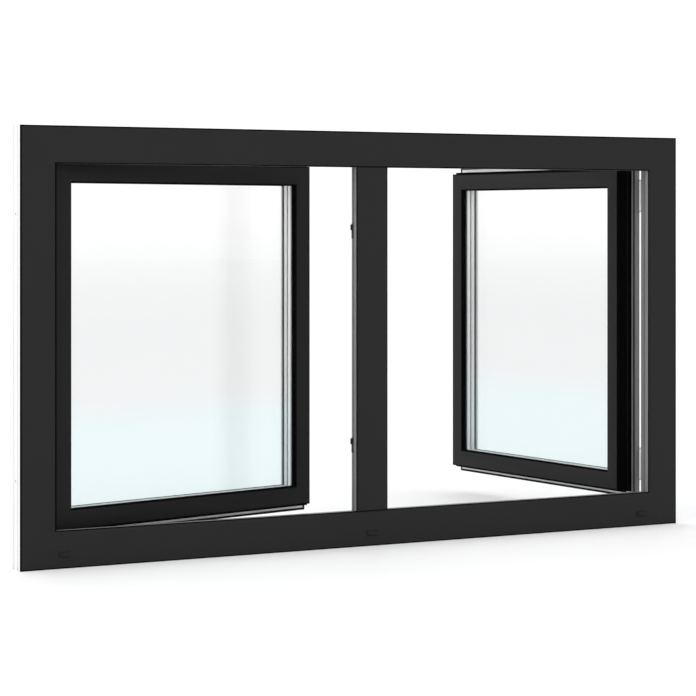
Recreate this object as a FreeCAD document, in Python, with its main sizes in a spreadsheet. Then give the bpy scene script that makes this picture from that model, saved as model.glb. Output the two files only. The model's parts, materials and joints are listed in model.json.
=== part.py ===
import FreeCAD, Part
import os
import re
import Sketcher
from FreeCAD import Placement, Rotation, Vector

# Twin inward-opening casement window: a fixed frame with a mullion, and two side-hung
# sashes, each with triple glazing, a handle and a sliding lock rod.
# X runs along the width, Y from the weather side to the room side, Z up.  The origin is
# the middle of the sill's underside.  The sashes stand open.
# Everything is drawn for the left light with its sash shut; the right light is the same
# set of pieces turned half round, upside down, about the window's centre.
# A section is drawn as (depth from the weather face, reach from the ring's outer edge).

SIZES = {
    # frame and mullion
    "overall_width": 1800, "overall_height": 1000, "frame_depth": 60, "frame_face": 86,
    "mullion_face": 86, "slope_width": 9, "slope_depth": 3, "nose_thickness": 17,
    "nose_reach": 18, "channel_width": 7, "channel_depth": 3, "key_width": 8,
    "key_depth": 3, "key_inset": 14, "chamber_inset": 12, "chamber_wall": 14,
    "mullion_wall": 10, "mullion_root": 8,
    # sash
    "seal_gap": 3, "hardware_gap": 8, "flange_overlap": 7, "flange_thickness": 17,
    "sash_visible": 42, "face_step": 5, "step_depth": 15, "lip_thickness": 13,
    "lip_slope_width": 4, "lip_slope_depth": 3, "glazing_bite": 18, "flange_chamfer": 3,
    "groove_width": 12, "groove_depth": 9, "groove_inset": 4, "sash_wall": 4,
    # steel
    "steel_wall": 1.5, "steel_clearance": 0.5, "steel_end_gap": 4,
    # glazing
    "pane_thickness": 4, "pane_gap": 10, "pane_edge_gap": 4, "outer_gasket": 3,
    "inner_gasket": 2, "gasket_width": 7.5, "gasket_overhang": 0.5, "spacer_setback": 0.5,
    "spacer_edge": 1, "bead_clearance": 0.2, "bead_chamfer": 3, "block_length": 100,
    "block_corner": 60,
    # weather seals
    "seal_width": 4, "seal_clearance": 0.3, "flange_seal_width": 5, "flange_seal_inset": 1,
    # hinges
    "pivot_offset": 7, "pivot_inset": 2, "knuckle_radius": 6, "pin_radius": 3.5,
    "pin_clearance": 0.05, "knuckle_length": 26, "knuckle_gap": 0.5, "leaf_thickness": 3,
    "frame_leaf_reach": 30, "sash_leaf_reach": 36, "hinge_corner": 150,
    "pin_head_radius": 5.5, "pin_head": 3, "hinge_clearance": 0.4, "leaf_gap": 2,
    # how far each sash stands open
    "left_angle": 15, "right_angle": 87.5,
    # handle
    "backset": 15, "spindle_size": 7, "spindle_clearance": 0.6, "spindle_round": 0.5,
    "rose_width": 30, "rose_height": 74, "rose_thickness": 5, "rose_round": 2,
    "rose_clearance": 0.3, "knob_radius": 12.5, "knob_disc": 3, "knob_bar_length": 23,
    "knob_bar_width": 8, "knob_bar_height": 6, "knob_round": 2,
    # lock
    "faceplate_thickness": 2.5, "faceplate_end": 70, "case_height": 90, "case_depth": 22,
    "case_clearance": 0.5, "rod_width": 6.5, "rod_thickness": 3, "rod_clearance": 0.3,
    "rod_end": 95, "rod_travel": 18, "cam_radius": 4, "cam_inset": 75,
    "cam_tip_gap": 1.8, "keep_plate": 1, "keep_height": 4, "keep_wall": 2,
    "keep_length": 36, "keep_lip_length": 14, "keep_cam_gap": 0.6,
    # drainage and wall fixing
    "cap_length": 28, "cap_height": 11, "cap_thickness": 3.5, "cap_wall": 1.2,
    "cap_corner": 21, "cap_level": 31.5, "fixing_radius": 3.25, "fixing_corner": 200,
}

document = FreeCAD.newDocument("casement_window")
sheet = document.addObject("Spreadsheet::Sheet", "Sizes")
for row, (alias, value) in enumerate(SIZES.items(), start=1):
    sheet.set("A%d" % row, alias)
    sheet.set("B%d" % row, str(value))
    sheet.setAlias("B%d" % row, alias)
reader = document.addObject("App::FeaturePython", "Reader")
document.recompute()

# Lines of the design that several pieces share, in the sheet's own words.
REBATE = "(frame_face - nose_reach)"
MULLION_BODY = "(mullion_face - 2 * nose_reach)"
SASH_FACE = "(nose_thickness + seal_gap)"
FLANGE_BACK = "(frame_depth + seal_gap)"
ROOM_FACE = f"({FLANGE_BACK} + flange_thickness)"
SASH_EDGE = "(flange_overlap + hardware_gap)"
SASH_REACH = "(nose_reach + flange_overlap + sash_visible)"
GLAZING_BASE = f"({SASH_REACH} - glazing_bite)"
LIP_BACK = f"({SASH_FACE} + lip_thickness)"
GLASS_FRONT = f"({LIP_BACK} + outer_gasket)"
GLASS_STEP = "(pane_thickness + pane_gap)"
GLASS_BACK = f"({GLASS_FRONT} + 2 * {GLASS_STEP} + pane_thickness)"
BEAD_FRONT = f"({GLASS_BACK} + inner_gasket)"
GROOVE_ROOM = f"({FLANGE_BACK} - groove_inset)"
GROOVE_WEATHER = f"({GROOVE_ROOM} - groove_width)"
GROOVE_MIDDLE = f"({GROOVE_ROOM} - groove_width / 2)"
GROOVE_FLOOR = f"({SASH_EDGE} + groove_depth)"
PANE_EDGE = f"({GLAZING_BASE} + pane_edge_gap)"

# The left sash's outer edge, shut, and what is measured from it.
LEFT = f"({REBATE} - flange_overlap)"
RIGHT = f"((overall_width - {MULLION_BODY}) / 2 + flange_overlap)"
BOTTOM = LEFT
TOP = f"(overall_height - {BOTTOM})"
MIDDLE = "(overall_height / 2)"
PIVOT_X = f"({LEFT} - pivot_offset)"
PIVOT_Y = f"({ROOM_FACE} - pivot_inset)"
FACEPLATE_BACK = f"({SASH_EDGE} + faceplate_thickness)"
SPINDLE_X = f"({RIGHT} - {FACEPLATE_BACK} - backset)"
SPINDLE_CORNER = "(spindle_size / 2 ^ 0.5)"
ROD_LOW = f"({BOTTOM} + rod_end)"
ROD_HIGH = f"({TOP} - rod_end - rod_travel)"


def linked(expression):
    """Point each size's name in an expression at its cell."""
    return re.sub(r"[a-z]\w*", lambda word: "Sizes." + word.group(0), str(expression))


def number(expression):
    """The value of an expression of the sheet's sizes."""
    return float(reader.evalExpression(linked(expression)))


def point(x, y, z):
    return Vector(number(x), number(y), number(z))


def swing(side):
    """The sash's turn about its hinge, from shut to where it stands."""
    if side == "left":
        pivot = point(PIVOT_X, PIVOT_Y, 0)
        return Placement(Vector(), Rotation(Vector(0, 0, 1), number("left_angle")), pivot)
    pivot = point(f"overall_width - {PIVOT_X}", PIVOT_Y, 0)
    return Placement(Vector(), Rotation(Vector(0, 0, 1), -number("right_angle")), pivot)


ORIGIN = Placement(point("-overall_width / 2", "-frame_depth / 2", 0), Rotation())
HALF_TURN = Placement(point("overall_width", 0, "overall_height"), Rotation(Vector(0, 1, 0), 180))
LIGHT = {"left": Placement(), "right": HALF_TURN}
SWING = {"left": swing("left"), "right": swing("right")}
NODES = []


def finish(piece, label, side="left", moving=False, local=None):
    """Name a piece as a node and put it where it belongs."""
    turn = SWING[side] if moving else Placement()
    piece.Label = label
    piece.Placement = ORIGIN * turn * LIGHT[side] * (local or Placement())
    NODES.append(piece)
    return piece


# ---- sketches and bodies ----------------------------------------------------------

def origin_plane(body, role):
    return [item for item in body.Origin.OriginFeatures if item.Role == role][0]


def pin_corner(sketch, line, axis, kind, expression, value):
    """Tie one coordinate of a line's first end to the sheet."""
    if abs(value) < 1e-9:
        sketch.addConstraint(Sketcher.Constraint("PointOnObject", line, 1, axis))
        return
    index = sketch.addConstraint(Sketcher.Constraint(kind, -1, 1, line, 1, value))
    sketch.setExpression("Constraints[%d]" % index, linked(expression))


def draw_loop(sketch, corners):
    """Add one closed outline whose corners are pairs of expressions."""
    first = sketch.GeometryCount
    values = [(number(x), number(y)) for x, y in corners]
    count = len(values)
    for index in range(count):
        start = Vector(*values[index], 0)
        end = Vector(*values[(index + 1) % count], 0)
        sketch.addGeometry(Part.LineSegment(start, end))
    for index in range(count):
        following = first + (index + 1) % count
        sketch.addConstraint(Sketcher.Constraint("Coincident", first + index, 2, following, 1))
    for index, (x, y) in enumerate(corners):
        pin_corner(sketch, first + index, -2, "DistanceX", x, values[index][0])
        pin_corner(sketch, first + index, -1, "DistanceY", y, values[index][1])


def sketch_on(body, role, loops):
    sketch = body.newObject("Sketcher::SketchObject", "Sketch")
    sketch.AttachmentSupport = (origin_plane(body, role), [""])
    sketch.MapMode = "FlatFace"
    for corners in loops:
        draw_loop(sketch, corners)
    return sketch


def bar(name, loops, length):
    """A square-cut length of one section, along local X."""
    body = document.addObject("PartDesign::Body", name)
    pad = body.newObject("PartDesign::Pad", "Length")
    pad.Profile = sketch_on(body, "YZ_Plane", loops)
    pad.setExpression("Length", linked(length))
    return body


def mitred_bar(name, loops, length, height):
    """A length of one section with both ends cut at 45 degrees towards its outer edge."""
    body = bar(name, loops, length)
    near_end = [("0", "0"), ("0", height), (height, height)]
    far_end = [(length, "0"), (length, height), (f"{length} - {height}", height)]
    cut = body.newObject("PartDesign::Pocket", "Mitres")
    cut.Profile = sketch_on(body, "XZ_Plane", [near_end, far_end])
    cut.Type = "ThroughAll"
    cut.SideType = "Symmetric"
    return body


def rectangle(x0, y0, x1, y1):
    return [(x0, y0), (x1, y0), (x1, y1), (x0, y1)]


def inset_rectangle(inset):
    """The left sash's outer rectangle taken in all round."""
    return rectangle(f"{LEFT} + ({inset})", f"{BOTTOM} + ({inset})",
                     f"{RIGHT} - ({inset})", f"{TOP} - ({inset})")


def sheet_piece(name, loops, front, thickness):
    """A flat piece drawn in the window's plane, from its front towards the room."""
    body = document.addObject("PartDesign::Body", name)
    pad = body.newObject("PartDesign::Pad", "Thickness")
    pad.Profile = sketch_on(body, "XZ_Plane", loops)
    pad.Reversed = True
    pad.setExpression("Length", linked(thickness))
    return body, Placement(point(0, front, 0), Rotation())


def member_placement(where, inset="0"):
    """Where a bar of a ring starts and which way it runs, by its side of the ring."""
    left, right = f"{LEFT} + {inset}", f"{RIGHT} - {inset}"
    bottom, top = f"{BOTTOM} + {inset}", f"{TOP} - {inset}"
    starts = {"bottom": (left, bottom, 0), "top": (right, top, 180),
              "left": (left, top, 90), "right": (right, bottom, -90)}
    x, z, angle = starts[where]
    return Placement(point(x, 0, z), Rotation(Vector(0, 1, 0), angle))


def member_length(where, inset="0"):
    if where in ("bottom", "top"):
        return f"({RIGHT} - {LEFT} - 2 * {inset})"
    return f"({TOP} - {BOTTOM} - 2 * {inset})"


# ---- primitives -------------------------------------------------------------------

def bind(piece, **sizes):
    for name, expression in sizes.items():
        piece.setExpression(name, linked(expression))


def put(piece, x, y, z):
    bind(piece, **{"Placement.Base.x": x, "Placement.Base.y": y, "Placement.Base.z": z})
    return piece


def box(x, y, z, length, width, height):
    piece = document.addObject("Part::Box", "Block")
    bind(piece, Length=length, Width=width, Height=height)
    return put(piece, x, y, z)


def cylinder(x, y, z, radius, height, direction=(0, 0, 1)):
    piece = document.addObject("Part::Cylinder", "Round")
    bind(piece, Radius=radius, Height=height)
    piece.Placement = Placement(Vector(), Rotation(Vector(0, 0, 1), Vector(*direction)))
    return put(piece, x, y, z)


def fused(pieces):
    piece = document.addObject("Part::MultiFuse", "Joined")
    piece.Shapes = pieces
    piece.Refine = True
    return piece


def cut(base, tools):
    tool = tools[0] if len(tools) == 1 else fused(tools)
    piece = document.addObject("Part::Cut", "Trimmed")
    piece.Base = base
    piece.Tool = tool
    return piece


def group(pieces):
    """Identical separate solids that share one node."""
    piece = document.addObject("Part::Compound", "Group")
    piece.Links = pieces
    return piece


def on_both_lights(build, levels):
    """The same pieces on the left light and, turned half round, on the right light."""
    pieces = []
    for side in ("left", "right"):
        for level in levels:
            piece = build(level)
            piece.Placement = LIGHT[side] * piece.Placement
            pieces.append(piece)
    return group(pieces)


def rounded(base, radius):
    """Round every edge of a block."""
    document.recompute()
    piece = document.addObject("Part::Fillet", "Rounded")
    piece.Base = base
    size = number(radius)
    piece.Edges = [(index + 1, size, size) for index in range(len(base.Shape.Edges))]
    return piece


# ---- fixed frame ------------------------------------------------------------------

def frame_section():
    """Weather face with a sloped edge, nose, drip channel, rebate and wall-side keys."""
    channel_end = "nose_thickness + channel_width"
    channel_floor = f"{REBATE} - channel_depth"
    outline = [("0", "0"), ("0", "frame_face - slope_width"), ("slope_depth", "frame_face"),
               ("nose_thickness", "frame_face"), ("nose_thickness", channel_floor),
               (channel_end, channel_floor), (channel_end, REBATE), ("frame_depth", REBATE),
               ("frame_depth", "0")]
    key_starts = ("frame_depth - key_inset - key_width", "key_inset")
    for start in key_starts:
        end = f"{start} + key_width"
        outline += [(end, "0"), (end, "key_depth"), (start, "key_depth"), (start, "0")]
    chamber = rectangle("chamber_inset", "chamber_wall", "frame_depth - chamber_inset",
                        f"{REBATE} - chamber_wall")
    return [outline, chamber]


FRAME_SIDES = {
    "sill": ("overall_width", ("0", "0", 0)),
    "head": ("overall_width", ("overall_width", "overall_height", 180)),
    "left_jamb": ("overall_height", ("0", "overall_height", 90)),
    "right_jamb": ("overall_height", ("overall_width", "0", -90)),
}


def frame_placement(side):
    x, z, angle = FRAME_SIDES[side][1]
    return Placement(point(x, 0, z), Rotation(Vector(0, 1, 0), angle))


def fixing_holes(length):
    """Through holes for the wall screws, across a jamb or its steel, in local axes."""
    return [cylinder(x, "frame_depth / 2", "0", "fixing_radius", REBATE)
            for x in ("fixing_corner", f"{length} - fixing_corner")]


def make_frame_members():
    members = {}
    for side, (length, _) in FRAME_SIDES.items():
        member = mitred_bar(side, frame_section(), length, "frame_face")
        if "jamb" in side:
            member = cut(member, fixing_holes(length))
        members[side] = finish(member, "frame_" + side, local=frame_placement(side))
    return members


def mullion_section():
    """The frame's section on both sides of one post."""
    far_nose = "mullion_face"
    far_body = "mullion_face - nose_reach"
    outline = [("0", "slope_width"), ("slope_depth", "0"), ("nose_thickness", "0"),
               ("nose_thickness", "nose_reach"), ("frame_depth", "nose_reach"),
               ("frame_depth", far_body), ("nose_thickness", far_body),
               ("nose_thickness", far_nose), ("slope_depth", far_nose),
               ("0", f"{far_nose} - slope_width")]
    chamber = rectangle("chamber_inset", "nose_reach + mullion_wall", "frame_depth - chamber_inset",
                        f"{far_body} - mullion_wall")
    return [outline, chamber]


def make_mullion(members):
    """The post, coped over the sill and the head at its ends."""
    root = f"({REBATE} - mullion_root)"
    post = bar("mullion", mullion_section(), f"overall_height - 2 * {root}")
    start = point("(overall_width - mullion_face) / 2", 0, f"overall_height - {root}")
    post.Placement = ORIGIN * Placement(start, Rotation(Vector(0, 1, 0), 90))
    document.recompute()
    coped = document.addObject("Part::Cut", "Coped")
    coped.Base = post
    coped.Tool = fused([members["sill"], members["head"]])
    coped.Label = "frame_mullion"
    NODES.append(coped)


def tube_loops(inset_y, base, end_y, top):
    """A hollow steel section that fits a chamber with a clearance all round."""
    outer = rectangle(f"{inset_y} + steel_clearance", f"{base} + steel_clearance",
                      f"{end_y} - steel_clearance", f"{top} - steel_clearance")
    skin = "(steel_clearance + steel_wall)"
    inner = rectangle(f"{inset_y} + {skin}", f"{base} + {skin}", f"{end_y} - {skin}", f"{top} - {skin}")
    return [outer, inner]


def make_frame_steel():
    """A square-cut steel in each frame member and in the mullion."""
    start = f"({REBATE} - chamber_wall + steel_end_gap)"
    loops = tube_loops("chamber_inset", "chamber_wall", "frame_depth - chamber_inset",
                       f"{REBATE} - chamber_wall")
    steels = []
    for side, (length, _) in FRAME_SIDES.items():
        steel = bar(side + "_steel", loops, f"{length} - 2 * {start}")
        steel.Placement = Placement(point(start, 0, 0), Rotation())
        if "jamb" in side:
            steel = cut(steel, fixing_holes(length))
        steel.Placement = frame_placement(side) * steel.Placement
        steels.append(steel)
    post_loops = tube_loops("chamber_inset", "nose_reach + mullion_wall", "frame_depth - chamber_inset",
                            "mullion_face - nose_reach - mullion_wall")
    post_start = "(frame_face + steel_end_gap)"
    post = bar("mullion_steel", post_loops, f"overall_height - 2 * {post_start}")
    top = point("(overall_width - mullion_face) / 2", 0, f"overall_height - {post_start}")
    post.Placement = Placement(top, Rotation(Vector(0, 1, 0), 90))
    finish(group(steels + [post]), "frame_reinforcement")


def make_frame_seal(side):
    """The weather seal on the back of the nose, round one light."""
    nose = f"({SASH_REACH} - sash_visible)"
    loops = [inset_rectangle(f"{nose} - seal_width"), inset_rectangle(nose)]
    body, local = sheet_piece(side + "_seal", loops, "nose_thickness", "seal_gap - seal_clearance")
    finish(body, side + "_frame_seal", side, local=local)


def make_drain_cap(x):
    """A small hood over a drain slot, open at its lower edge."""
    hood = box(x, "-cap_thickness", "cap_level - cap_height / 2",
               "cap_length", "cap_thickness", "cap_height")
    hollow = box(f"{x} + cap_wall", "cap_wall - cap_thickness", "cap_level - cap_height / 2",
                 "cap_length - 2 * cap_wall", "cap_thickness - cap_wall", "cap_height - cap_wall")
    return cut(hood, [hollow])


def make_drain_caps():
    near = "frame_face + cap_corner - cap_length / 2"
    places = [near, "(overall_width - cap_length) / 2", f"overall_width - cap_length - ({near})"]
    finish(group([make_drain_cap(f"({place})") for place in places]), "drain_caps")


# ---- sash -------------------------------------------------------------------------

def sash_section(hollow):
    """Face, lip, glazing rebate, room face, flange, hardware groove and face step."""
    face_edge = f"{SASH_EDGE} + face_step"
    step = f"{SASH_FACE} + step_depth"
    outline = [(SASH_FACE, face_edge), (SASH_FACE, f"{SASH_REACH} - lip_slope_width"),
               (f"{SASH_FACE} + lip_slope_depth", SASH_REACH), (LIP_BACK, SASH_REACH),
               (LIP_BACK, GLAZING_BASE), (ROOM_FACE, GLAZING_BASE), (ROOM_FACE, "flange_chamfer"),
               (f"{ROOM_FACE} - flange_chamfer", "0"), (FLANGE_BACK, "0"), (FLANGE_BACK, SASH_EDGE),
               (GROOVE_ROOM, SASH_EDGE), (GROOVE_ROOM, GROOVE_FLOOR), (GROOVE_WEATHER, GROOVE_FLOOR),
               (GROOVE_WEATHER, SASH_EDGE), (step, SASH_EDGE), (step, face_edge)]
    if not hollow:
        return [outline]
    return [outline, rectangle(*sash_chamber())]


def sash_chamber():
    return (f"{SASH_FACE} + sash_wall", f"{GROOVE_FLOOR} + sash_wall",
            f"{ROOM_FACE} - sash_wall", f"{GLAZING_BASE} - sash_wall")


SASH_MEMBERS = {"bottom": "bottom_rail", "top": "top_rail", "left": "hinge_stile", "right": "lock_stile"}
BEADS = {"bottom": "bottom_bead", "top": "top_bead", "left": "hinge_side_bead", "right": "lock_side_bead"}


def lock_pocket():
    """The deeper pocket in the hardware groove for the lock case, and the spindle's hole."""
    spare = "(case_height / 2 + case_clearance)"
    depth = f"({FACEPLATE_BACK} + case_depth + case_clearance)"
    pocket = box(f"{RIGHT} - {depth}", GROOVE_WEATHER, f"{MIDDLE} - {spare}",
                 f"{depth} - {SASH_EDGE}", "groove_width", f"2 * {spare}")
    hole = cylinder(SPINDLE_X, GROOVE_MIDDLE, MIDDLE, f"{SPINDLE_CORNER} + spindle_clearance",
                    f"{ROOM_FACE} - {GROOVE_MIDDLE}", (0, 1, 0))
    return [pocket, hole]


def make_sash_members(side):
    for where, name in SASH_MEMBERS.items():
        lock_side = where == "right"
        member = mitred_bar(name, sash_section(hollow=not lock_side), member_length(where), SASH_REACH)
        local = member_placement(where)
        if lock_side:
            member.Placement = local
            member = cut(member, lock_pocket())
            local = Placement()
        finish(member, f"{side}_sash_{name}", side, True, local)


def make_beads(side):
    """The room-side beads that hold the glass in its rebate."""
    inset = f"({GLAZING_BASE} + bead_clearance)"
    height = "(glazing_bite - bead_clearance)"
    outline = [(BEAD_FRONT, "0"), (ROOM_FACE, "0"), (ROOM_FACE, f"{height} - bead_chamfer"),
               (f"{ROOM_FACE} - bead_chamfer", height), (BEAD_FRONT, height)]
    for where, name in BEADS.items():
        bead = mitred_bar(name, [outline], member_length(where, inset), height)
        finish(bead, f"{side}_{name}", side, True, member_placement(where, inset))


def make_sash_steel(side):
    """Steel tubes in the three hollow members."""
    start = f"({GLAZING_BASE} - sash_wall + steel_end_gap)"
    loops = tube_loops(*sash_chamber())
    steels = []
    for where in ("bottom", "top", "left"):
        steel = bar(where + "_steel", loops, f"{member_length(where)} - 2 * {start}")
        steel.Placement = member_placement(where) * Placement(point(start, 0, 0), Rotation())
        steels.append(steel)
    finish(group(steels), side + "_sash_reinforcement", side, True)


def make_panes(side):
    for index, name in enumerate(("outer_pane", "middle_pane", "inner_pane")):
        front = f"({GLASS_FRONT} + {index} * {GLASS_STEP})"
        body, local = sheet_piece(name, [inset_rectangle(PANE_EDGE)], front, "pane_thickness")
        finish(body, f"{side}_{name}", side, True, local)


def make_spacers(side):
    """The two metal spacer frames that hold the panes apart."""
    loops = [inset_rectangle(f"({PANE_EDGE} + spacer_edge)"),
             inset_rectangle(f"({SASH_REACH} - spacer_setback)")]
    spacers = []
    for index in range(2):
        front = f"({GLASS_FRONT} + pane_thickness + {index} * {GLASS_STEP})"
        body, local = sheet_piece("spacer", loops, front, "pane_gap")
        body.Placement = local
        spacers.append(body)
    finish(group(spacers), side + "_glass_spacers", side, True)


def make_glazing_gasket(side, name, front, thickness):
    edge = f"({SASH_REACH} + gasket_overhang)"
    loops = [inset_rectangle(f"({edge} - gasket_width)"), inset_rectangle(edge)]
    body, local = sheet_piece(name, loops, front, thickness)
    finish(body, f"{side}_{name}", side, True, local)


def make_flange_seal(side):
    """The room-side seal under the flange, which meets the frame's room face."""
    loops = [inset_rectangle("flange_seal_inset"),
             inset_rectangle("(flange_seal_inset + flange_seal_width)")]
    body, local = sheet_piece("flange_seal", loops, "(frame_depth + seal_clearance)",
                              "seal_gap - seal_clearance")
    finish(body, side + "_flange_seal", side, True, local)


def make_setting_blocks(side):
    """Two packers under the glass."""
    depth = f"{GLASS_BACK} - {GLASS_FRONT}"
    starts = (f"{LEFT} + {PANE_EDGE} + block_corner",
              f"{RIGHT} - {PANE_EDGE} - block_corner - block_length")
    blocks = [box(start, GLASS_FRONT, f"{BOTTOM} + {GLAZING_BASE}", "block_length", depth, "pane_edge_gap")
              for start in starts]
    finish(group(blocks), side + "_setting_blocks", side, True)


# ---- hinges -----------------------------------------------------------------------

HINGE_LEVELS = ("hinge_corner", "(overall_height - hinge_corner)")
HALF_HINGE = "(1.5 * knuckle_length + knuckle_gap)"


def frame_leaf(level):
    """A leaf on the frame's room face that carries the two outer knuckles."""
    low = f"({level} - {HALF_HINGE})"
    high = f"({level} + knuckle_length / 2 + knuckle_gap)"
    reach = f"({PIVOT_X} - frame_leaf_reach)"
    pieces = [box(reach, "frame_depth", low, f"{LEFT} - hinge_clearance - {reach}",
                  "leaf_thickness", f"2 * {HALF_HINGE}")]
    for start in (low, high):
        pieces.append(box(f"{PIVOT_X} - knuckle_radius", "frame_depth", start,
                          "knuckle_radius + pin_radius", f"{PIVOT_Y} - frame_depth", "knuckle_length"))
        pieces.append(cylinder(PIVOT_X, PIVOT_Y, start, "knuckle_radius", "knuckle_length"))
    bore = cylinder(PIVOT_X, PIVOT_Y, low, "pin_radius", f"2 * {HALF_HINGE}")
    return cut(fused(pieces), [bore])


def sash_leaf(level):
    """A leaf on the sash's room face that carries the middle knuckle."""
    low = f"({level} - knuckle_length / 2)"
    edge = f"({PIVOT_X} + knuckle_radius + hinge_clearance + leaf_gap)"
    plate = box(edge, ROOM_FACE, f"{level} - {HALF_HINGE}", "sash_leaf_reach", "leaf_thickness",
                f"2 * {HALF_HINGE}")
    tongue = box(PIVOT_X, ROOM_FACE, low, f"{edge} - {PIVOT_X}", "leaf_thickness", "knuckle_length")
    knuckle = cylinder(PIVOT_X, PIVOT_Y, low, "knuckle_radius", "knuckle_length")
    bore = cylinder(PIVOT_X, PIVOT_Y, low, "pin_radius + pin_clearance", "knuckle_length")
    return cut(fused([plate, tongue, knuckle]), [bore])


def hinge_pin(level):
    """A pin through the three knuckles with a head on top."""
    low = f"({level} - {HALF_HINGE})"
    shank = cylinder(PIVOT_X, PIVOT_Y, low, "pin_radius", f"2 * {HALF_HINGE}")
    head = cylinder(PIVOT_X, PIVOT_Y, f"{level} + {HALF_HINGE}", "pin_head_radius", "pin_head")
    foot = cylinder(PIVOT_X, PIVOT_Y, f"{low} - pin_head", "pin_head_radius", "pin_head")
    return fused([shank, head, foot])


def make_hinges(side):
    finish(group([frame_leaf(level) for level in HINGE_LEVELS]), side + "_hinge_frame_leaves", side)
    finish(group([sash_leaf(level) for level in HINGE_LEVELS]), side + "_hinge_sash_leaves", side, True)


# ---- lock and handle --------------------------------------------------------------

CAM_LEVELS = (f"({ROD_LOW} + cam_inset)", f"({ROD_HIGH} - cam_inset)")
CHANNEL_DEPTH = "(rod_thickness + 2 * rod_clearance)"


def from_edge(reach):
    """A distance in from the lock stile's outer edge."""
    return f"({RIGHT} - {reach})"


def make_lock_case(side):
    """The faceplate with its cam slots, and the gear case riveted behind it."""
    width = "(groove_width - 2 * rod_clearance)"
    weather = f"({GROOVE_MIDDLE} - {width} / 2)"
    plate = box(from_edge(FACEPLATE_BACK), weather, f"{BOTTOM} + faceplate_end", "faceplate_thickness",
                width, f"{TOP} - {BOTTOM} - 2 * faceplate_end")
    case = box(from_edge(f"({FACEPLATE_BACK} + case_depth)"), weather, f"{MIDDLE} - case_height / 2",
               "case_depth", width, "case_height")
    half_channel = "(rod_width / 2 + rod_clearance)"
    channel = box(from_edge(f"({FACEPLATE_BACK} + {CHANNEL_DEPTH})"), f"{GROOVE_MIDDLE} - {half_channel}",
                  f"{MIDDLE} - case_height / 2", CHANNEL_DEPTH, f"2 * {half_channel}", "case_height")
    follower = cylinder(SPINDLE_X, weather, MIDDLE, f"{SPINDLE_CORNER} + spindle_clearance / 2", width,
                        (0, 1, 0))
    half_slot = "(cam_radius + rod_clearance)"
    slots = [box(from_edge(FACEPLATE_BACK), f"{GROOVE_MIDDLE} - {half_slot}", f"{level} - {half_slot}",
                 "faceplate_thickness", f"2 * {half_slot}", f"rod_travel + 2 * {half_slot}")
             for level in CAM_LEVELS]
    finish(cut(fused([plate, case]), [channel, follower] + slots), side + "_lock_case", side, True)


def make_lock_rod(side):
    """The sliding rod behind the faceplate and its two round cams."""
    rod_face = f"({FACEPLATE_BACK} + rod_clearance)"
    rod = box(from_edge(f"({rod_face} + rod_thickness)"), f"{GROOVE_MIDDLE} - rod_width / 2", ROD_LOW,
              "rod_thickness", "rod_width", f"{ROD_HIGH} - {ROD_LOW}")
    tip = "(flange_overlap + cam_tip_gap)"
    cams = [cylinder(from_edge(f"({rod_face} + rod_thickness / 2)"), GROOVE_MIDDLE, level, "cam_radius",
                     f"{rod_face} + rod_thickness / 2 - {tip}", (1, 0, 0)) for level in CAM_LEVELS]
    finish(fused([rod] + cams), side + "_lock_rod", side, True)


def keep(level):
    """An open-backed catch on the mullion with a lip that holds the cam when locked."""
    half_width = "(cam_radius + keep_cam_gap)"
    weather = f"({GROOVE_MIDDLE} - {half_width} - keep_wall)"
    room = f"({GROOVE_MIDDLE} + {half_width} + keep_wall)"
    low = f"({level} + rod_travel / 2 - keep_length / 2)"
    surface = from_edge("flange_overlap")
    block = box(f"{surface} - keep_height", weather, low, "keep_height", f"{room} - {weather}", "keep_length")
    throat = box(f"{surface} - keep_height", f"{weather} + keep_wall", low, "keep_height - keep_plate",
                 f"{room} - {weather} - keep_wall", "keep_length")
    lip = box(f"{surface} - keep_height", f"{room} - keep_wall",
              f"{level} + rod_travel - keep_lip_length / 2", "keep_height", "keep_wall", "keep_lip_length")
    return fused([cut(block, [throat]), lip])


def make_handle(side):
    """Rose, square spindle, and a low thumb-turn whose bar lies level when unlocked."""
    rose = rounded(box(f"{SPINDLE_X} - rose_width / 2", ROOM_FACE, f"{MIDDLE} - rose_height / 2",
                       "rose_width", "rose_thickness", "rose_height"), "rose_round")
    opening = cylinder(SPINDLE_X, ROOM_FACE, MIDDLE, f"{SPINDLE_CORNER} + spindle_clearance",
                       "rose_thickness", (0, 1, 0))
    finish(cut(rose, [opening]), side + "_handle_rose", side, True)
    knob_start = f"({ROOM_FACE} + rose_thickness + rose_clearance)"
    spindle = rounded(box(f"{SPINDLE_X} - spindle_size / 2", GROOVE_WEATHER,
                          f"{MIDDLE} - spindle_size / 2", "spindle_size",
                          f"{knob_start} - {GROOVE_WEATHER}", "spindle_size"), "spindle_round")
    finish(spindle, side + "_handle_spindle", side, True)
    disc = cylinder(SPINDLE_X, knob_start, MIDDLE, "knob_radius", "knob_disc", (0, 1, 0))
    grip = rounded(box(f"{SPINDLE_X} - knob_bar_length / 2", knob_start, f"{MIDDLE} - knob_bar_width / 2",
                       "knob_bar_length", "knob_disc + knob_bar_height", "knob_bar_width"), "knob_round")
    finish(fused([disc, grip]), side + "_handle_knob", side, True)


# ---- assembly ---------------------------------------------------------------------

def make_light(side):
    make_frame_seal(side)
    make_sash_members(side)
    make_sash_steel(side)
    make_beads(side)
    make_panes(side)
    make_spacers(side)
    make_glazing_gasket(side, "outer_gasket", LIP_BACK, "outer_gasket")
    make_glazing_gasket(side, "inner_gasket", GLASS_BACK, "inner_gasket")
    make_flange_seal(side)
    make_setting_blocks(side)
    make_hinges(side)
    make_lock_case(side)
    make_lock_rod(side)
    make_handle(side)


def check_document():
    for item in document.Objects:
        if "Invalid" in item.State or "Error" in item.State:
            raise RuntimeError("%s failed: %s" % (item.Label, item.State))
    for node in NODES:
        if node.Shape.isNull() or not node.Shape.isValid():
            raise RuntimeError("%s has no valid shape" % node.Label)


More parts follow.
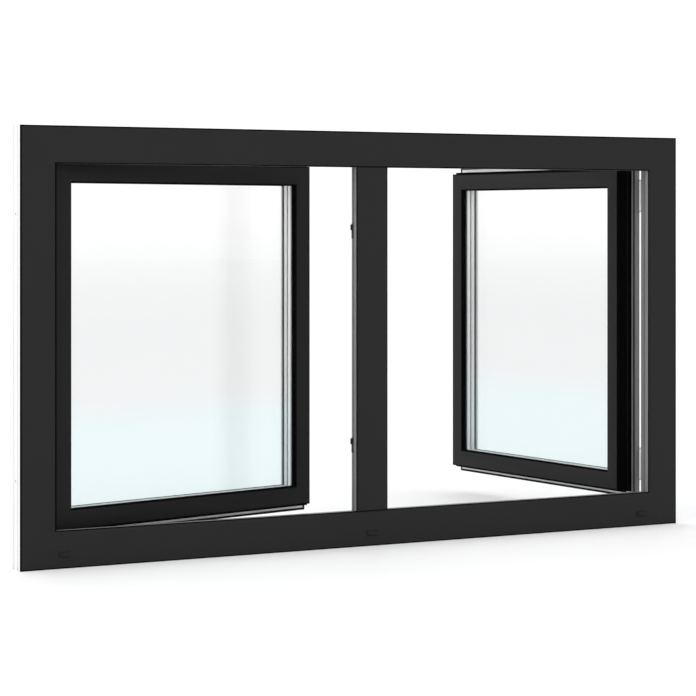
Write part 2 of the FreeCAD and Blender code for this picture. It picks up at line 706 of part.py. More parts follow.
def export_nodes():
    os.makedirs("parts", exist_ok=True)
    for node in NODES:
        node.Shape.exportStep("parts/%s.step" % node.Label)
        print("%-28s %2d solids %10.1f mm3" % (node.Label, len(node.Shape.Solids), node.Shape.Volume))
    print(len(NODES), "nodes")


frame_members = make_frame_members()
make_mullion(frame_members)
make_frame_steel()
make_drain_caps()
for light in ("left", "right"):
    make_light(light)
finish(on_both_lights(hinge_pin, HINGE_LEVELS), "hinge_pins")
finish(on_both_lights(keep, CAM_LEVELS), "lock_keeps")
document.recompute()
check_document()
export_nodes()
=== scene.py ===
# %% [markdown]
# # A two-light casement window
# The window is a fixed plastic frame with a post in the middle, and two sashes that open
# into the room.  The CAD model gives every size and place, and this lesson gives the looks:
# rounded sections swept with numpy, seals, screws and a shaped handle, and finishes made
# only from shader nodes.  All lengths are metres unless a name or comment says millimetres.

import json
import math

import bpy
import numpy as np
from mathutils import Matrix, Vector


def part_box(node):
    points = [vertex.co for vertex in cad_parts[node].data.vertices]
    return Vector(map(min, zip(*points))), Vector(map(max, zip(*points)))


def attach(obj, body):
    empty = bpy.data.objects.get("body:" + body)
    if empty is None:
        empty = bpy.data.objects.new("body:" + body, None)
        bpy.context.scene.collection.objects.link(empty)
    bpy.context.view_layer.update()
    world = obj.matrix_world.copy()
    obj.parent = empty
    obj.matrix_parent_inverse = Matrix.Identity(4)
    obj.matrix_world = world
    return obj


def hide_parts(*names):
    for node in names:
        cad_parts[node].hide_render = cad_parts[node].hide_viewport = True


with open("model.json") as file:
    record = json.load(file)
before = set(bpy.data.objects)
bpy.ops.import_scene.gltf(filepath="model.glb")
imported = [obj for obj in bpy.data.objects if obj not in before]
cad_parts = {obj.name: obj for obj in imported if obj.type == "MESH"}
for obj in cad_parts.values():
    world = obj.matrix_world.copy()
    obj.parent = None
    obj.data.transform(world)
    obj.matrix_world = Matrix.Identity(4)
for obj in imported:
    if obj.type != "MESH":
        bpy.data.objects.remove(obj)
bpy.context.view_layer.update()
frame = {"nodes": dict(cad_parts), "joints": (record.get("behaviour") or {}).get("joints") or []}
nodes = frame["nodes"]

# %% [markdown]
# ## Where things are
# Each sash stands open, so its pieces are easiest to shape with the sash shut and then to
# swing about the hinge.  The hinge's place and its travel come from the record: the shut
# end of the travel tells how far open the sash stands.  The right light is the left one
# turned half round, so one description serves both.

# %% Read the hinges and the outer sizes
MM = 0.001
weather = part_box("frame_sill")[0].y
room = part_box("frame_sill")[1].y
half_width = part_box("frame_sill")[1].x
window_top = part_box("frame_head")[1].z
SIDES = ("left", "right")
joints = {joint["name"]: joint for joint in frame["joints"]}
hinge_line = {side: np.array(joints[side + "_sash_swing"]["pos_m"][:2]) for side in SIDES}
stands_open = {side: -joints[side + "_sash_swing"]["axis"][2]
               * math.radians(joints[side + "_sash_swing"]["range_deg"][0]) for side in SIDES}
print("stands open", {side: round(math.degrees(angle), 1) for side, angle in stands_open.items()})


# %% Swing, turn and measure
def swing(points, side, share=1):
    """Points turned about the sash's hinge line: x' = x cos a - y sin a and y' = x sin a + y cos a,
    from the hinge, where a is a share of the angle that the sash stands open (-1 shuts it)."""
    angle = share * stands_open[side]
    x, y = points[..., 0] - hinge_line[side][0], points[..., 1] - hinge_line[side][1]
    swung = np.array(points, float)
    swung[..., 0] = hinge_line[side][0] + x * math.cos(angle) - y * math.sin(angle)
    swung[..., 1] = hinge_line[side][1] + x * math.sin(angle) + y * math.cos(angle)
    return swung


def half_turn(points):
    """The left light's points turned half round the window's middle: x' = -x and z' = top - z."""
    return np.asarray(points) * (-1, 1, -1) + (0, 0, window_top)


def stand(points, side, swings=True):
    """Points of the left light, shut, put where the same piece stands in either light."""
    placed = half_turn(points) if side == "right" else np.asarray(points)
    return swing(placed, side) if swings else placed


def shut_box(*names):
    """Lowest and highest corner of left-light CAD nodes with the sash shut."""
    found = []
    for name in names:
        mesh = nodes[name].data
        flat = np.empty(3 * len(mesh.vertices), np.float32)
        mesh.vertices.foreach_get("co", flat)
        found.append(swing(flat.reshape(-1, 3), "left", -1))
    points = np.concatenate(found)
    return points.min(0), points.max(0)


sash_low, sash_high = shut_box("left_sash_bottom_rail", "left_sash_top_rail")
SASH = (sash_low[0], sash_low[2], sash_high[0], sash_high[2])
print("sash, shut, x and z:", [round(float(value), 4) for value in SASH])

# %% [markdown]
# ## From arrays to a piece
# A shape here is an array of points and an array of four-cornered faces between them.  A
# grid of points with its rows and columns joined to their neighbours is enough for rings,
# bars, turned parts and thumb-turns.  Building the whole grid at once is quick, and the
# signed volume of the finished shape shows whether its faces point outwards.


# %% Faces between the points of a grid
def grid_faces(rows, columns, close_rows=False, close_columns=False):
    """Quads between neighbours in a grid numbered row by row: (r, c), (r, c+1), (r+1, c+1), (r+1, c)."""
    r = np.arange(rows if close_rows else rows - 1)[:, None]
    c = np.arange(columns if close_columns else columns - 1)[None, :]
    next_r, next_c = (r + 1) % rows, (c + 1) % columns
    quads = np.stack(np.broadcast_arrays(r * columns + c, r * columns + next_c,
                                         next_r * columns + next_c, next_r * columns + c), -1)
    return quads.reshape(-1, 4)


def repeated(points, quads, caps):
    """A stack of equal grids, as (copies, points, 3), read as one shape: each copy's faces are
    the first copy's with that copy's first point number added."""
    copies, count = points.shape[:2]
    starts = np.arange(copies) * count
    all_quads = (quads[None] + starts[:, None, None]).reshape(-1, 4)
    all_caps = [cap + start for start in starts for cap in caps]
    return points.reshape(-1, 3), all_quads, all_caps


def volume(points, quads, caps):
    """Signed volume: over fans of triangles from each face's first corner, the sum of
    first . (one x next) / 6."""
    corner = points[quads]
    fans = [corner[:, [0, 1, 2]], corner[:, [0, 2, 3]]]
    for cap in caps:
        edge = points[cap]
        fans.append(np.stack([np.broadcast_to(edge[0], edge[1:-1].shape), edge[1:-1], edge[2:]], 1))
    fan = np.concatenate(fans)
    return float(np.einsum("ij,ij->i", fan[:, 0], np.cross(fan[:, 1], fan[:, 2])).sum() / 6)


def outward(shape):
    """The shape with its faces turned to point outwards, by the sign of its volume."""
    points, quads, caps = shape
    if volume(points, quads, caps) < 0:
        return points, quads[:, ::-1], [cap[::-1] for cap in caps]
    return shape


# %% Make the Blender object
SHARP_ANGLE = math.radians(32)


def make_piece(name, shape, finish, body, replaces=(), closed=True):
    """An object whose mesh holds the points and faces, facing outwards, riding on its body."""
    points, quads, caps = shape
    name = name.replace(" ", "_")
    if closed:
        points, quads, caps = outward((points, quads, caps))
    mesh = bpy.data.meshes.new(name)
    mesh.from_pydata(points.tolist(), [], quads.tolist() + [cap.tolist() for cap in caps])
    mesh.polygons.foreach_set("use_smooth", np.ones(len(mesh.polygons), bool))
    mesh.set_sharp_from_angle(angle=SHARP_ANGLE)
    mesh.materials.append(finish)
    piece = bpy.data.objects.new(name, mesh)
    bpy.context.scene.collection.objects.link(piece)
    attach(piece, body)
    if replaces:
        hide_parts(*replaces)
    return piece


# %% [markdown]
# ## Shader maths that reads like arithmetic
# A finish is a chain of nodes, and most links are small sums.  One class wraps a node's
# output so that `1 - mask` or `a * b` adds the Math node, and one method adds any other
# node from its type, its settings and its inputs.  The rest of the lesson then says what
# a finish is, and not how sockets are joined.


# %% A wrapped socket and a material under construction
class Wire:
    """An output socket; arithmetic on it adds Math nodes and gives another wire."""

    def __init__(self, paint, socket):
        self.paint, self.socket = paint, socket

    def sum_of(self, operation, *values):
        return self.paint.node("ShaderNodeMath", {"operation": operation}, list(values))

    def __add__(self, other):
        return self.sum_of("ADD", self, other)

    def __sub__(self, other):
        return self.sum_of("SUBTRACT", self, other)

    def __rsub__(self, other):
        return self.sum_of("SUBTRACT", other, self)

    def __mul__(self, other):
        return self.sum_of("MULTIPLY", self, other)

    def __pow__(self, other):
        return self.sum_of("POWER", self, other)

    def __abs__(self):
        return self.sum_of("ABSOLUTE", self)

    def __mod__(self, other):
        return self.sum_of("FLOORED_MODULO", self, other)

    __radd__ = __add__
    __rmul__ = __mul__


class Paint:
    """One material and the nodes of its finish."""

    def __init__(self, name):
        self.material = bpy.data.materials.new(name)
        self.material.use_nodes = True
        self.tree = self.material.node_tree
        self.tree.nodes.clear()

    def node(self, kind, settings=None, values=None, output=0):
        """Adds a node, sets its settings, then its inputs, and gives one of its outputs."""
        node = self.tree.nodes.new(kind)
        for name, value in (settings or {}).items():
            setattr(node, name, value)
        inputs = values if isinstance(values, dict) else dict(enumerate(values or []))
        for name, value in inputs.items():
            if isinstance(value, Wire):
                self.tree.links.new(value.socket, node.inputs[name])
            else:
                node.inputs[name].default_value = value
        return Wire(self, node.outputs[output]) if len(node.outputs) else None

    def lower(self, first, second):
        return self.node("ShaderNodeMath", {"operation": "MINIMUM"}, [first, second])

    def rise(self, value, low, high):
        """0 below low, 1 above high, and an S-shaped ramp between them."""
        settings = {"interpolation_type": "SMOOTHSTEP"}
        return self.node("ShaderNodeMapRange", settings,
                         {"Value": value, "From Min": low, "From Max": high})

    def blend(self, mask, first, second):
        """The first colour where the mask is 0, and the second where it is 1."""
        return self.node("ShaderNodeMix", {"data_type": "RGBA"}, {0: mask, 6: first, 7: second}, 2)

    def place(self):
        """The point's own place on the piece, as x, y and z."""
        spot = self.node("ShaderNodeTexCoord", output="Object")
        return [self.node("ShaderNodeSeparateXYZ", values=[spot], output=index) for index in range(3)]

    def spot(self, x, y, z):
        return self.node("ShaderNodeCombineXYZ", values=[x, y, z])

    def noise(self, spot, scale, detail=2.0, roughness=0.5):
        values = {"Vector": spot, "Scale": scale, "Detail": detail, "Roughness": roughness}
        return self.node("ShaderNodeTexNoise", values=values)

    def bump(self, height, strength, distance):
        values = {"Strength": strength, "Distance": distance, "Height": height}
        return self.node("ShaderNodeBump", values=values)

    def principled(self, **values):
        named = {name.replace("_", " "): value for name, value in values.items()}
        return self.node("ShaderNodeBsdfPrincipled", values=named)

    def done(self, surface):
        self.node("ShaderNodeOutputMaterial", values={"Surface": surface})
        return self.material


def grey(value, alpha=1.0):
    return (value, value, value, alpha)


print("shader tools ready")

# %% [markdown]
# ## Places on a sash that stands open
# The profiles have two colours, and the line between them follows the section, so the
# shader has to know how deep a point lies and how far it is from the sash's edge.  Object
# coordinates are fixed to the piece as it stands, so the nodes turn them back about the
# hinge, by the same formula as the sweep, before any pattern is laid.


# %% Depth and reach of a point, as nodes
def shut_place(paint, side):
    """Across, depth behind the weather face, and height of a point with its sash shut."""
    x, y, z = paint.place()
    if side == "frame":
        return x, y - weather, z
    turn = stands_open[side]
    hinge_x, hinge_y = (float(value) for value in hinge_line[side])
    from_x, from_y = x - hinge_x, y - hinge_y
    across = from_x * math.cos(turn) + from_y * math.sin(turn) + hinge_x
    depth = from_y * math.cos(turn) - from_x * math.sin(turn) + (hinge_y - weather)
    return across, depth, z


def edge_distances(paint, side, across, height):
    """How far a point lies in from the member's outer edges: from the upright one, and from
    the level one.  Each is half the size less the distance from the middle."""
    if side == "frame":
        return half_width - abs(across), window_top / 2 - abs(height - window_top / 2)
    middle = float(SASH[0] + SASH[2]) / 2 * (1 if side == "left" else -1)
    half_sash, half_rise = float(SASH[2] - SASH[0]) / 2, float(SASH[3] - SASH[1]) / 2
    return half_sash - abs(across - middle), half_rise - abs(height - window_top / 2)


# %% [markdown]
# ## Foiled plastic profile
# The profiles are extruded plastic, with a thin black film glued over the
# weather side and a white one over the room side.  The black film is satin with a very fine
# grain; painted shade darkens it in narrow bands along its edges, round the openings and
# along the post.  It stops on the sloped edge of
# the frame and, on the sash, just before the flange.  Between the films the core shows,
# painted dark grey as the shade in the rebates and reveals; the sash flange's edge, and its
# front on the hinge side, carry the same painted grey, and a near-black line of painted shade
# runs along the flange's outer end.  The core has faint lines along its length from the die,
# and a thin seam where two lengths are welded at a mitre.  The wall side is left pale.  One
# material with masks does all of it, because a real profile is one piece with several finishes.

# %% The bare plastics
FRAME_FOIL_DEPTH = 3.4 * MM
SASH_FOIL_DEPTH = 62.6 * MM
FRAME_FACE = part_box("frame_sill")[1].z
FRAME_ROOM_DEPTH = room - weather
POST_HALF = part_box("frame_mullion")[1].x
# How strongly the painted edge shade darkens the black film.
EDGE_SHADE_SHARE = 0.92
WHITE_TONES = ((0.84, 0.85, 0.845, 1), (0.78, 0.79, 0.785, 1), (0.66, 0.67, 0.67, 1))
# The core's grey tones are painted shade for the rebates and reveals.
CORE_SHADE_TONES = ((0.200, 0.202, 0.204, 1), (0.170, 0.172, 0.174, 1), (0.120, 0.122, 0.124, 1))
# One black film, toned darker on the left sash and lighter on the frame: painted shade.
FILM_SHADE_TONES = {"frame": (grey(0.0115), grey(0.0150)), "left": (grey(0.0060), grey(0.0085)),
              "right": (grey(0.0085), grey(0.0110))}


def plastic(paint, tones, lines, clouds):
    """A plastic's colour: two tones in slow clouds, and a third in the lines from the die."""
    return paint.blend(paint.rise(lines, 0.55, 0.75) * 0.4, paint.blend(clouds, tones[0], tones[1]),
                       tones[2])


def band(paint, value, low, high, soft=0.7 * MM):
    """1 between two values, 0 outside them, with a soft change of width soft at each end."""
    return paint.rise(value, low - soft, low) * (1 - paint.rise(value, high, high + soft))


def die_lines(paint, reach, depth, along):
    """Noise that changes quickly across the section and hardly at all along the length."""
    return paint.noise(paint.spot(reach * 1600, depth * 1600, along * 2), 1.0, 3.0)


# %% Where each colour lies
def frame_zones(paint, across, depth, reach, level):
    """The pale room face and pale wall side, and the painted edge shade on the film: at the outer edge,
    round the openings and along both sides of the post.  There is no painted shade line here."""
    inside = paint.rise(depth, FRAME_ROOM_DEPTH - 0.6 * MM, FRAME_ROOM_DEPTH - 0.3 * MM)
    # The wall side is left pale, outside the core's painted shade.
    pale_wall_side = 1 - paint.rise(reach, 3.2 * MM, 3.4 * MM)
    opening = band(paint, reach, FRAME_FACE - 2.4 * MM, FRAME_FACE + 0.2 * MM)
    post = band(paint, abs(across), POST_HALF - 2.4 * MM, POST_HALF + 0.2 * MM)
    # Painted shade: dark bands along the film's outer edge, round the openings and beside the post.
    painted_edge_shade = 1 - paint.rise(reach, 2.8 * MM, 3.6 * MM) + opening
    painted_edge_shade = painted_edge_shade + post * paint.rise(level, FRAME_FACE, FRAME_FACE + MM)
    return inside + pale_wall_side - inside * pale_wall_side, painted_edge_shade, 0 * level


def sash_zones(paint, across, depth, reach, upright, level):
    """White behind the end of the black film, but bare core, painted grey as shade, on the flange's edge
    and on its front on the hinge side; painted edge shade round the face; and a near-black line of
    painted shade along the flange's outer end."""
    middle = float(SASH[0] + SASH[2]) / 2
    # Painted shade: the flange's front on the hinge side is left as grey core.
    hinge_side_shade = paint.rise(level - upright, 0.0, MM) * paint.rise(abs(across), abs(middle), abs(middle) + MM)
    front = 1 - paint.rise(depth, 64.2 * MM, 64.5 * MM)
    # Painted shade: the flange's edge is left as grey core.
    edge = band(paint, depth, 64.2 * MM, 79.2 * MM, 0.3 * MM) * (1 - paint.rise(reach, 3.6 * MM, 4.0 * MM))
    bare = edge + hinge_side_shade * front
    # Painted shade: dark bands round the sash face's outer edge and along the glass lip.
    painted_edge_shade = 1 - paint.rise(reach, 22.6 * MM, 23.4 * MM) + paint.rise(reach, 63.4 * MM, 64.2 * MM)
    # Painted shade: a near-black line along the flange's outer end, on its weather face, off the hinge side.
    tip_shade_line = (1 - paint.rise(reach, 2.6 * MM, 3.0 * MM)) * front * (1 - hinge_side_shade)
    return paint.rise(depth, SASH_FOIL_DEPTH, SASH_FOIL_DEPTH + 0.2 * MM) * (1 - bare), painted_edge_shade, tip_shade_line


# %% Black film outside, white film inside, core between, painted grey as shade
def profile_finish(side):
    paint = Paint("foiled profile, " + side)
    across, depth, height = shut_place(paint, side)
    upright, level = edge_distances(paint, side, across, height)
    reach, along = paint.lower(upright, level), across + height
    lines = die_lines(paint, reach, depth, along)
    clouds = paint.noise(paint.spot(reach * 30, depth * 30, along * 6), 1.0)
    seam = 1 - paint.rise(abs(upright - level), 0.25 * MM, 0.6 * MM)
    if side == "frame":
        seam = seam * (1 - paint.rise(reach, FRAME_FACE - 2 * MM, FRAME_FACE))
        film_end = FRAME_FOIL_DEPTH
        pale, painted_edge_shade, tip_shade_line = frame_zones(paint, across, depth, reach, level)
    else:
        film_end = SASH_FOIL_DEPTH
        pale, painted_edge_shade, tip_shade_line = sash_zones(paint, across, depth, reach, upright, level)
    # Painted shade: the bare core takes the grey tones; the white film and the wall side take the pale ones.
    bare = paint.blend(pale, plastic(paint, CORE_SHADE_TONES, lines, clouds),
                       plastic(paint, WHITE_TONES, lines, clouds))
    core_colour = paint.blend(seam * 0.35, bare, (0.30, 0.30, 0.295, 1))
    core_gloss = 0.34 + 0.12 * clouds + 0.2 * seam

    waver = paint.noise(paint.spot(across * 60, height * 60, 0), 1.0)
    film = 1 - paint.rise(depth + waver * (0.2 * MM), film_end, film_end + 0.15 * MM)
    grain = paint.noise(paint.spot(across * 2600, depth * 2600, height * 2600), 1.0, 3.0, 0.6)
    drift = paint.noise(paint.spot(across * 5, depth * 5, height * 3), 1.0, 3.0)
    dust = paint.noise(paint.spot(across * 90, depth * 90, height * 26), 1.0, 5.0, 0.65)
    low_dust = paint.rise(dust, 0.5, 0.8) * (1 - paint.rise(height, 0.0, 0.35)) * 0.35
    satin = paint.blend(drift, FILM_SHADE_TONES[side][0], FILM_SHADE_TONES[side][1])
    dusty = paint.blend(low_dust * 0.2, satin, (0.060, 0.058, 0.055, 1))
    film_gloss = 0.46 + 0.14 * grain + 0.10 * drift + 0.2 * low_dust

    colour = paint.blend(film, core_colour, dusty)
    gloss = core_gloss + film * (film_gloss - core_gloss)
    surface = lines * 0.35 - seam * 1.5
    surface = surface + film * (grain * 0.5 - surface)
    skin = paint.principled(Base_Color=colour, Roughness=gloss,
                            Normal=paint.bump(surface, 0.25, 0.12 * MM), Specular_IOR_Level=0.16)
    shaded = paint.node("ShaderNodeBsdfDiffuse", values=[grey(0.002)])
    # Painted shade: a near-black diffuse mixed over the film's edge bands and the flange's end line.
    share = film * (painted_edge_shade * EDGE_SHADE_SHARE - tip_shade_line) + tip_shade_line
    return paint.done(paint.node("ShaderNodeMixShader", values=[share, skin, shaded]))


profile = {side: profile_finish(side) for side in ("frame", *SIDES)}
print("profile finishes", len(profile), "post half width", round(POST_HALF, 4))

# %% [markdown]
# ## Plain white plastic and white metal
# The glazing beads are white all through, with the same die lines as the profiles.  The
# hinge leaves are steel with a white powder coat, which dries to a shallow orange-peel
# surface.  A bump from a soft noise a few millimetres wide gives that skin, and both
# finishes carry a slow change of sheen so that no face is one flat tone.


# %% Bead plastic and powder coat
def bead_finish(side):
    paint = Paint("white bead, " + side)
    across, depth, height = shut_place(paint, side)
    upright, level = edge_distances(paint, side, across, height)
    reach, along = paint.lower(upright, level), across + height
    lines = die_lines(paint, reach, depth, along)
    clouds = paint.noise(paint.spot(reach * 30, depth * 30, along * 6), 1.0)
    return paint.done(paint.principled(Base_Color=plastic(paint, WHITE_TONES, lines, clouds),
                                       Roughness=0.30 + 0.12 * clouds,
                                       Normal=paint.bump(lines, 0.15, 0.1 * MM),
                                       Specular_IOR_Level=0.4))


def powder_coat():
    paint = Paint("white powder coat")
    x, y, z = paint.place()
    peel = paint.noise(paint.spot(x * 420, y * 420, z * 420), 1.0, 2.0)
    cloud = paint.noise(paint.spot(x * 20, y * 20, z * 20), 1.0, 3.0)
    colour = paint.blend(cloud, (0.79, 0.80, 0.80, 1), (0.70, 0.71, 0.71, 1))
    return paint.done(paint.principled(Base_Color=colour, Roughness=0.26 + 0.15 * peel,
                                       Normal=paint.bump(peel, 0.3, 0.15 * MM)))


bead_white = {side: bead_finish(side) for side in SIDES}
white_metal = powder_coat()
print("white finishes ready")

# %% [markdown]
# ## Metals and the glazing spacer
# Zinc plating is a patchwork of faint crystals with a slightly yellow passivation, which a
# Voronoi pattern gives; the keeps are steel blacked in an oil bath.  The glazing spacer is
# pale plastic, which loses less heat than aluminium, with two rows of tiny holes to its
# drying agent.  The handle is brushed along its length and anodised: noise squeezed along
# one direction makes the brush lines, and fingers leave the sheen uneven.


# %% Zinc plate, blacked steel, spacer and satin handle
def zinc_plate():
    paint = Paint("zinc plate")
    x, y, z = paint.place()
    crystals = paint.node("ShaderNodeTexVoronoi", {"feature": "F1"},
                          {"Vector": paint.spot(x * 260, y * 260, z * 260), "Scale": 1.0}, "Color")
    shade = paint.node("ShaderNodeSeparateColor", values=[crystals])
    stain = paint.noise(paint.spot(x * 45, y * 45, z * 18), 1.0, 4.0)
    plated = paint.blend(shade, (0.50, 0.51, 0.51, 1), (0.66, 0.66, 0.65, 1))
    colour = paint.blend(paint.rise(stain, 0.5, 0.8) * 0.4, plated, (0.60, 0.56, 0.43, 1))
    return paint.done(paint.principled(Base_Color=colour, Metallic=1.0, Roughness=0.28 + 0.22 * shade,
                                       Normal=paint.bump(stain, 0.2, 0.1 * MM)))


def blacked_steel():
    paint = Paint("blacked steel")
    x, y, z = paint.place()
    bath = paint.noise(paint.spot(x * 90, y * 90, z * 90), 1.0, 4.0)
    worn = paint.rise(paint.noise(paint.spot(x * 700, y * 700, z * 700), 1.0, 2.0), 0.62, 0.8)
    colour = paint.blend(worn * 0.3, paint.blend(bath, grey(0.010), grey(0.022)), grey(0.12))
    return paint.done(paint.principled(Base_Color=colour, Metallic=0.4 * worn, Roughness=0.42 + 0.2 * bath,
                                       Normal=paint.bump(bath, 0.2, 0.1 * MM), Specular_IOR_Level=0.3))


def spacer_plastic(side):
    """Holes of 0.9 mm in two rows, each where the distance to the nearest centre of a
    square grid is small; each is a small dent, and its darker grey is painted shade."""
    paint = Paint("pale spacer, " + side)
    across, depth, height = shut_place(paint, side)
    along = across + height
    row = abs((depth - 5.0 * MM) % (7.0 * MM) - 3.5 * MM)
    step = abs(along % (3.4 * MM) - 1.7 * MM)
    distance = (row * row + step * step) ** 0.5
    hole_and_its_shade = 1 - paint.rise(distance, 0.35 * MM, 0.55 * MM)
    drawn = paint.noise(paint.spot(across * 8, depth * 2200, height * 8), 1.0, 3.0)
    pale = paint.blend(drawn, (0.80, 0.81, 0.81, 1), (0.93, 0.94, 0.94, 1))
    return paint.done(paint.principled(Base_Color=paint.blend(hole_and_its_shade, pale, grey(0.30)),
                                       Roughness=0.40 + 0.16 * drawn,
                                       Normal=paint.bump(1 - hole_and_its_shade, 0.5, 0.3 * MM)))


def satin_aluminium():
    paint = Paint("satin handle aluminium")
    x, y, z = paint.place()
    brush = paint.noise(paint.spot(x * 60, y * 60, z * 3200), 1.0, 4.0, 0.6)
    touch = paint.noise(paint.spot(x * 38, y * 38, z * 38), 1.0, 3.0)
    colour = paint.blend(brush, (0.58, 0.58, 0.585, 1), (0.74, 0.74, 0.745, 1))
    gloss = 0.24 + 0.12 * brush + 0.14 * paint.rise(touch, 0.45, 0.7)
    return paint.done(paint.principled(Base_Color=colour, Metallic=1.0, Roughness=gloss,
                                       Normal=paint.bump(brush, 0.18, 0.05 * MM)))


zinc = zinc_plate()
dark_steel = blacked_steel()
spacer_skin = {side: spacer_plastic(side) for side in SIDES}
handle_metal = satin_aluminium()
print("metal finishes ready")

# %% [markdown]
# ## Rubber and moulded black plastic
# Seals are matt black rubber with fine run lines and a little pale bloom.  The drain caps
# are moulded, and carry the pebbled texture of their tool.  Both are almost black, so the
# difference is in the gloss and in the grain of the surface.


# %% Seal rubber and cap plastic
def seal_rubber():
    paint = Paint("seal rubber")
    x, y, z = paint.place()
    lines = paint.noise(paint.spot(x * 30, y * 2400, z * 30), 1.0, 3.0)
    bloom = paint.noise(paint.spot(x * 25, y * 25, z * 25), 1.0, 4.0)
    colour = paint.blend(paint.rise(bloom, 0.45, 0.8), grey(0.006), grey(0.020))
    return paint.done(paint.principled(Base_Color=colour, Roughness=0.62 + 0.2 * lines,
                                       Normal=paint.bump(lines, 0.3, 0.08 * MM),
                                       Specular_IOR_Level=0.2))


def edge_butyl():
    """The sealant's grey: soft, smeared a little lighter where it was pressed out."""
    paint = Paint("edge sealant")
    x, y, z = paint.place()
    smear = paint.noise(paint.spot(x * 60, y * 60, z * 60), 1.0, 4.0)
    return paint.done(paint.principled(Base_Color=paint.blend(smear, grey(0.34), grey(0.50)),
                                       Roughness=0.5 + 0.2 * smear, Normal=paint.bump(smear, 0.3, 0.1 * MM)))


def moulded_plastic():
    paint = Paint("moulded black plastic")
    x, y, z = paint.place()
    pebbles = paint.node("ShaderNodeTexVoronoi", {"feature": "SMOOTH_F1"},
                         {"Vector": paint.spot(x * 1400, y * 1400, z * 1400), "Scale": 1.0}, "Distance")
    worn = paint.noise(paint.spot(x * 120, y * 120, z * 120), 1.0, 3.0)
    colour = paint.blend(worn, grey(0.008), grey(0.013))
    return paint.done(paint.principled(Base_Color=colour, Roughness=0.50 + 0.2 * pebbles,
                                       Normal=paint.bump(pebbles, 0.35, 0.1 * MM),
                                       Specular_IOR_Level=0.16))


rubber = seal_rubber()
butyl = edge_butyl()
cap_plastic = moulded_plastic()
print("black finishes ready")

# %% [markdown]
# ## Clear glass
# Each pane is clear float glass.  Light goes nearly straight through, and the pane is painted
# a faint grey towards its middle and a pale cyan tint towards its foot as painted reflection;
# a little of the light is mirrored, more at a slant.  A transparent shader mixed with a mirror
# keeps the shadows light, which a refracting shader would not.  The share of the mirror is a
# small part plus the fifth power of the slant, which is Schlick's rule, and a last, dusty shader
# takes a few per cent near the foot of the pane where splashes dry.


# %% Glass from clear, mirror and dust
# Clear, then the painted reflection tones for the middle and the foot of the pane.
GLASS_TONES = ((0.995, 0.995, 0.995, 1), (0.974, 0.975, 0.976, 1), (0.966, 0.984, 0.986, 1))


def clear_glass():
    paint = Paint("clear glass")
    x, y, z = paint.place()
    # Painted reflection: grey towards the middle of the pane and a pale cyan tint at its foot.
    clear, painted_mid_reflection, painted_foot_reflection = (paint.node("ShaderNodeBsdfTransparent", values=[tone]) for tone in GLASS_TONES)
    upper = paint.node("ShaderNodeMixShader", values=[1 - paint.rise(z, 0.52, 0.84), clear, painted_mid_reflection])
    through = paint.node("ShaderNodeMixShader", values=[1 - paint.rise(z, 0.28, 0.40), upper, painted_foot_reflection])
    waves = paint.noise(paint.spot(x * 1.6, y * 1.6, z * 2.4), 1.0, 1.0)
    mirror = paint.node("ShaderNodeBsdfGlossy", values={
        "Color": (0.97, 0.98, 0.98, 1), "Roughness": 0.02, "Normal": paint.bump(waves, 0.05, 0.4 * MM)})
    slant = paint.node("ShaderNodeLayerWeight", values={"Blend": 0.5}, output="Facing")
    pane = paint.node("ShaderNodeMixShader", values=[0.02 + 0.7 * slant**5, through, mirror])
    specks = paint.noise(paint.spot(x * 300, y * 300, z * 300), 1.0, 6.0, 0.7)
    splash = paint.rise(specks, 0.6, 0.75) * (1 - paint.rise(z, 0.13, 0.3)) * 0.03
    dust = paint.principled(Base_Color=(0.72, 0.71, 0.68, 1), Roughness=0.9)
    return paint.done(paint.node("ShaderNodeMixShader", values=[splash, pane, dust]))


glass = clear_glass()
print("glass ready")

# %% [markdown]
# ## Finishes on the CAD nodes
# The fixed frame, the panes, the spacers, the hinges and the lock keep their CAD shapes,
# which are already exact.  Only their material slots are filled.  A rule by name is enough:
# what a node is called says what it is made of.


# %% Give each CAD node its finish
def finish_for(name):
    side = name.split("_")[0]
    by_word = (("pane", glass), ("spacers", spacer_skin.get(side)), ("reinforcement", zinc),
               ("bead", bead_white.get(side)), ("leaves", white_metal), ("pins", zinc), ("lock_case", zinc),
               ("lock_rod", zinc), ("keeps", dark_steel), ("spindle", zinc), ("handle", handle_metal),
               ("seal", rubber), ("gasket", rubber), ("blocks", cap_plastic), ("caps", cap_plastic))
    for word, material in by_word:
        if word in name:
            return material
    return profile[side if side in SIDES else "frame"]


for name, node in nodes.items():
    node.data.materials.clear()
    node.data.materials.append(finish_for(name))
print("finished", len(nodes), "CAD nodes")

# %% [markdown]
# ## Sections with softened corners
# A plastic profile has no perfectly sharp corner: the die rounds each one a little, and that
# is what catches the light along an edge.  A section is a list of corners, as depth behind
# the weather face and reach in from the ring's outer edge, in millimetres, and each corner
# becomes a short curve.


# %% Round the corners of a section
def softened(corners, steps=4):
    """Each corner (depth, reach, radius) becomes a curve that starts one radius before it and
    ends one radius after it: (1-t)^2 start + 2t(1-t) corner + t^2 end, for t from 0 to 1."""
    table = np.array(corners, float)
    corner, radius = table[:, :2], table[:, 2:]
    before, after = np.roll(corner, 1, 0) - corner, np.roll(corner, -1, 0) - corner
    start = corner + radius * before / np.linalg.norm(before, axis=1, keepdims=True)
    end = corner + radius * after / np.linalg.norm(after, axis=1, keepdims=True)
    t = np.linspace(0, 1, steps)[None, :, None]
    curve = (1 - t) ** 2 * start[:, None] + 2 * t * (1 - t) * corner[:, None] + t**2 * end[:, None]
    return curve.reshape(-1, 2)


def oval(depth, reach, half_depth, half_reach, count=16):
    """A closed oval section: centre + (half depth cos a, half reach sin a)."""
    a = np.linspace(0, 2 * np.pi, count, endpoint=False)
    return np.stack([depth + half_depth * np.cos(a), reach + half_reach * np.sin(a)], 1)


